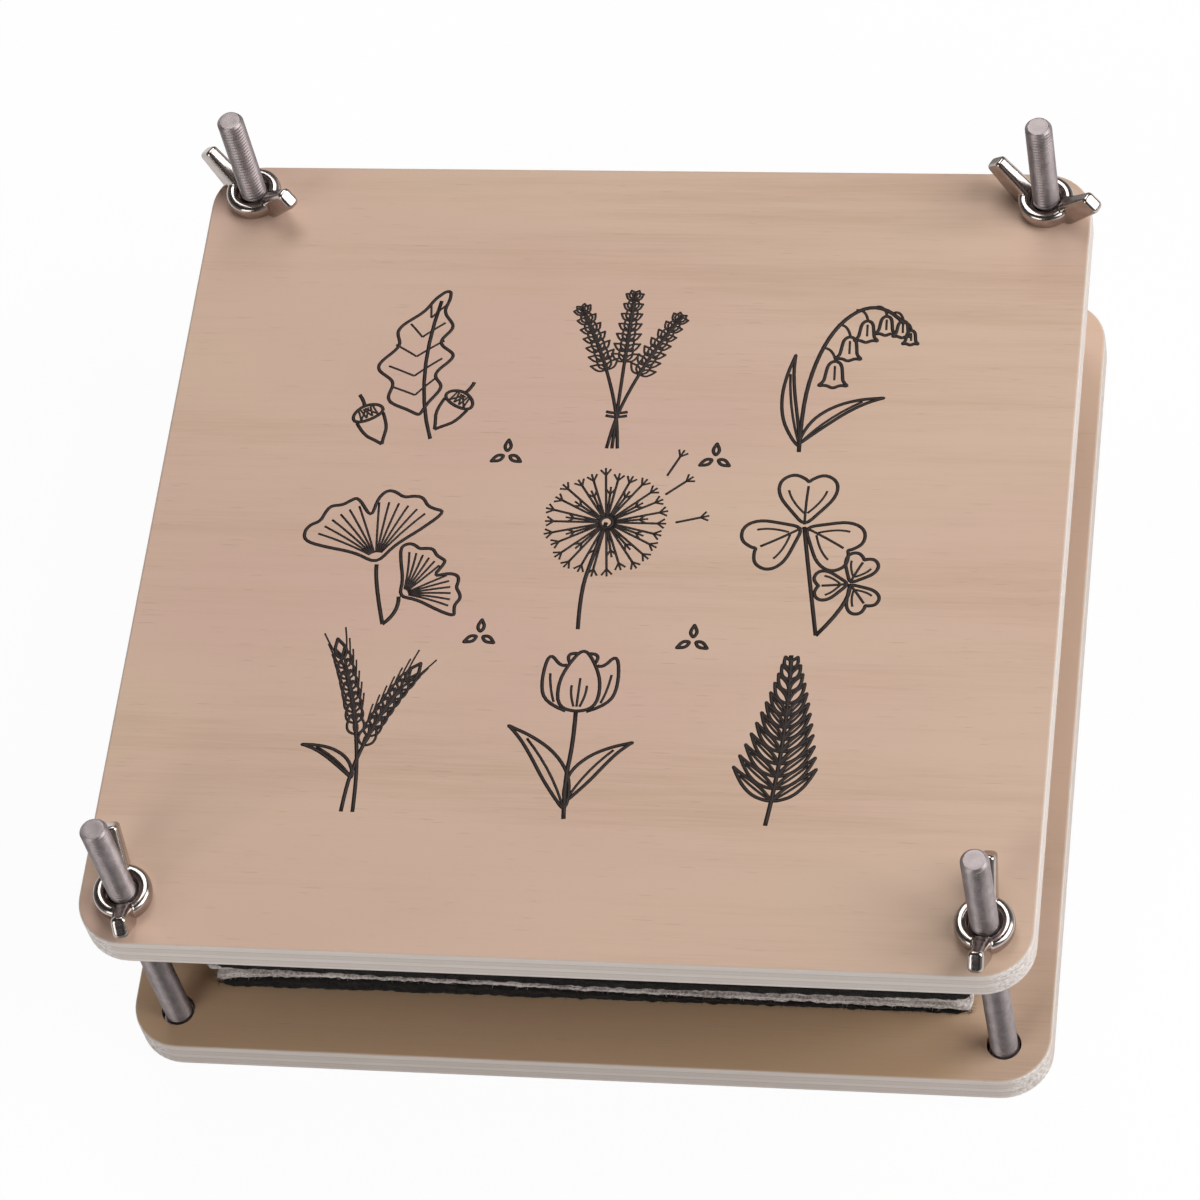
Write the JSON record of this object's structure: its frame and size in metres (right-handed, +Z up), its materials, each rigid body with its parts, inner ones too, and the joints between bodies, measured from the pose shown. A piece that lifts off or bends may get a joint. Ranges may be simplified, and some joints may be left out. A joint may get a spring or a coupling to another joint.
{
  "type": "flower press",
  "caption": "Square plywood flower press: a top board slides on corner bolts and wing nuts clamp it on a stack of drying pads and blotting sheets.",
  "frame": {"origin": "underside of the base board, midway between the four bolts", "axes": "+Z up along the bolts, front towards -Y, +X to the right seen from the front"},
  "size_m": [0.205, 0.2048, 0.0893],
  "materials": {
    "plywood": "bare sanded plywood with an open ply edge",
    "bolt_steel": "dull zinc plated steel",
    "nickel_plate": "bright nickel plate",
    "dark_felt": "matt dark felt",
    "blotting_paper": "soft unsized paper with rough edges"
  },
  "bodies": {
    "base": {"base_board": "plywood", "bolt_front_left": "bolt_steel", "bolt_front_right": "bolt_steel", "bolt_back_right": "bolt_steel", "bolt_back_left": "bolt_steel", "drying_pad_1": "dark_felt", "lower_blotting_sheet_1": "blotting_paper"},
    "press_plate": {"top_board": "plywood", "drying_pad_7": "dark_felt", "upper_blotting_sheet_6": "blotting_paper"},
    "nut_front_left": {"wing_nut_front_left": "nickel_plate"},
    "nut_front_right": {"wing_nut_front_right": "nickel_plate"},
    "nut_back_right": {"wing_nut_back_right": "nickel_plate"},
    "nut_back_left": {"wing_nut_back_left": "nickel_plate"},
    "layer_2": {"upper_blotting_sheet_1": "blotting_paper", "drying_pad_2": "dark_felt", "lower_blotting_sheet_2": "blotting_paper"},
    "layer_3": {"upper_blotting_sheet_2": "blotting_paper", "drying_pad_3": "dark_felt", "lower_blotting_sheet_3": "blotting_paper"},
    "layer_4": {"upper_blotting_sheet_3": "blotting_paper", "drying_pad_4": "dark_felt", "lower_blotting_sheet_4": "blotting_paper"},
    "layer_5": {"upper_blotting_sheet_4": "blotting_paper", "drying_pad_5": "dark_felt", "lower_blotting_sheet_5": "blotting_paper"},
    "layer_6": {"upper_blotting_sheet_5": "blotting_paper", "drying_pad_6": "dark_felt", "lower_blotting_sheet_6": "blotting_paper"}
  },
  "joints": [
    {"name": "press_plate_slide", "type": "slide", "parent": "base", "child": "press_plate", "axis": [0, 0, 1], "range_m": [-0.004, 0.02]},
    {"name": "nut_front_left_turn", "type": "hinge", "parent": "press_plate", "child": "nut_front_left", "pos_m": [-0.09, -0.09, 0.06], "axis": [0, 0, 1], "range_deg": [-1440, 7200]},
    {"name": "nut_front_right_turn", "type": "hinge", "parent": "press_plate", "child": "nut_front_right", "pos_m": [0.09, -0.09, 0.06], "axis": [0, 0, 1], "range_deg": [-1440, 7200]},
    {"name": "nut_back_right_turn", "type": "hinge", "parent": "press_plate", "child": "nut_back_right", "pos_m": [0.09, 0.09, 0.06], "axis": [0, 0, 1], "range_deg": [-1440, 7200]},
    {"name": "nut_back_left_turn", "type": "hinge", "parent": "press_plate", "child": "nut_back_left", "pos_m": [-0.09, 0.09, 0.06], "axis": [0, 0, 1], "range_deg": [-1440, 7200]},
    {"name": "layer_2_lift", "type": "slide", "parent": "base", "child": "layer_2", "axis": [0, 0, 1], "range_m": [-0.00067, 0.00333]},
    {"name": "layer_3_lift", "type": "slide", "parent": "base", "child": "layer_3", "axis": [0, 0, 1], "range_m": [-0.00133, 0.00667]},
    {"name": "layer_4_lift", "type": "slide", "parent": "base", "child": "layer_4", "axis": [0, 0, 1], "range_m": [-0.002, 0.01]},
    {"name": "layer_5_lift", "type": "slide", "parent": "base", "child": "layer_5", "axis": [0, 0, 1], "range_m": [-0.00267, 0.01333]},
    {"name": "layer_6_lift", "type": "slide", "parent": "base", "child": "layer_6", "axis": [0, 0, 1], "range_m": [-0.00333, 0.01667]}
  ],
  "couplings": [
    {"joint": "nut_front_left_turn", "follows": "press_plate_slide", "rad_per_m": 6283.2},
    {"joint": "nut_front_right_turn", "follows": "press_plate_slide", "rad_per_m": 6283.2},
    {"joint": "nut_back_right_turn", "follows": "press_plate_slide", "rad_per_m": 6283.2},
    {"joint": "nut_back_left_turn", "follows": "press_plate_slide", "rad_per_m": 6283.2},
    {"joint": "layer_2_lift", "follows": "press_plate_slide", "ratio": 0.16667},
    {"joint": "layer_3_lift", "follows": "press_plate_slide", "ratio": 0.33333},
    {"joint": "layer_4_lift", "follows": "press_plate_slide", "ratio": 0.5},
    {"joint": "layer_5_lift", "follows": "press_plate_slide", "ratio": 0.66667},
    {"joint": "layer_6_lift", "follows": "press_plate_slide", "ratio": 0.83333}
  ]
}
